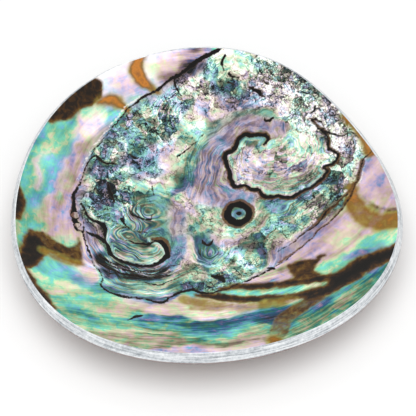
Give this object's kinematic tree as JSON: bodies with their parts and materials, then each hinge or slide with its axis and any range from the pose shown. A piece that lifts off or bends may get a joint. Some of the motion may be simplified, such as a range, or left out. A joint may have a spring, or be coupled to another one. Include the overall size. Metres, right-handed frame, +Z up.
{
  "type": "abalone shell",
  "caption": "Shallow dish-shaped red abalone shell, hollow side up, trimmed and ground round the rim and polished inside to bare mother-of-pearl; a curio or small catch-all dish.",
  "frame": {"origin": "middle of the worn flat spot on the underside, where the shell rests", "axes": "+Z up out of the hollow, +X along the longest side of the outline, +Y away from the person looking into the dish"},
  "size_m": [0.1517, 0.1458, 0.0271],
  "materials": {
    "nacre": "polished"
  },
  "bodies": {
    "root": {"shell": "nacre"}
  },
  "joints": []
}
